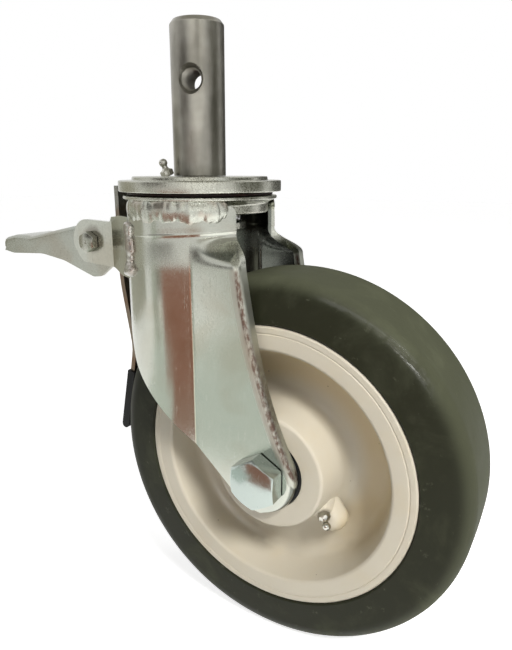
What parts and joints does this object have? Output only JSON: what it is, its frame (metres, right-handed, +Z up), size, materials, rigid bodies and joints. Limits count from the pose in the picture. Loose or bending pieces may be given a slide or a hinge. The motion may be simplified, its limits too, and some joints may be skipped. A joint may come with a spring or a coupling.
{
  "type": "swivel castor",
  "caption": "Round-stem swivel castor with a pressed two-leg fork, solid tyre on a dished core, and a foot pedal that brakes wheel and swivel.",
  "frame": {"origin": "middle of the stem's flat top end face", "axes": "+Z up along the stem, +X towards the side where the wheel trails, brake pedal towards -X, near leg at -Y"},
  "size_m": [0.3859, 0.1264, 0.4069],
  "materials": {
    "bare_steel": "turned bare steel",
    "zinc_plate": "bright zinc plate over pressed steel",
    "hard_steel": "ground hardened steel",
    "weld_steel": "weld bead under zinc plate",
    "nipple_steel": "zinc-plated grease nipple",
    "cream_paint": "satin cream paint on a cast core",
    "tyre_rubber": "dark grey-green solid rubber, lightly polished",
    "black_rubber": "matt black rubber",
    "seal_felt": "greasy brown seal"
  },
  "bodies": {
    "head": {"stem": "bare_steel", "top_plate": "zinc_plate", "upper_ball_row": "hard_steel", "lower_ball_row": "hard_steel", "king_washer": "zinc_plate", "king_nut": "zinc_plate", "plate_grease_nipple": "nipple_steel"},
    "fork": {"raceway_ring": "zinc_plate", "dust_seal": "seal_felt", "near_leg": "zinc_plate", "far_leg": "zinc_plate", "ring_weld_near": "weld_steel", "ring_weld_far": "weld_steel", "brake_cheek_near": "zinc_plate", "brake_cheek_far": "zinc_plate", "cheek_weld_near": "weld_steel", "cheek_weld_far": "weld_steel", "pivot_bolt": "zinc_plate", "pivot_washer": "zinc_plate", "pivot_nut": "zinc_plate", "lever_bush": "hard_steel", "axle_sleeve": "hard_steel", "thrust_washer_near": "black_rubber", "thrust_washer_far": "black_rubber", "axle_bolt": "zinc_plate", "axle_washer": "zinc_plate", "axle_nut": "zinc_plate"},
    "wheel": {"wheel_core": "cream_paint", "wheel_web": "cream_paint", "wheel_rim": "cream_paint", "tyre": "tyre_rubber", "roller_bearing": "hard_steel", "hub_seal_near": "black_rubber", "hub_seal_far": "black_rubber", "hub_grease_nipple": "nipple_steel"},
    "pedal": {"brake_lever": "zinc_plate"},
    "brake": {"brake_leaf": "zinc_plate", "brake_shoe": "black_rubber"}
  },
  "joints": [
    {"name": "swivel", "type": "hinge", "parent": "head", "child": "fork", "pos_m": [0, 0, -0.1], "axis": [0, 0, 1], "continuous": true},
    {"name": "wheel_spin", "type": "hinge", "parent": "fork", "child": "wheel", "pos_m": [0.073, 0, -0.28], "axis": [0, 1, 0], "continuous": true},
    {"name": "brake_pedal", "type": "hinge", "parent": "fork", "child": "pedal", "pos_m": [-0.0795, 0, -0.1415], "axis": [0, -1, 0], "range_deg": [0, 25]},
    {"name": "brake_slide", "type": "slide", "parent": "fork", "child": "brake", "axis": [1, 0, 0], "range_m": [0, 0.001]}
  ],
  "couplings": [
    {"joint": "brake_slide", "follows": "brake_pedal", "m_per_rad": 0.0022918}
  ]
}
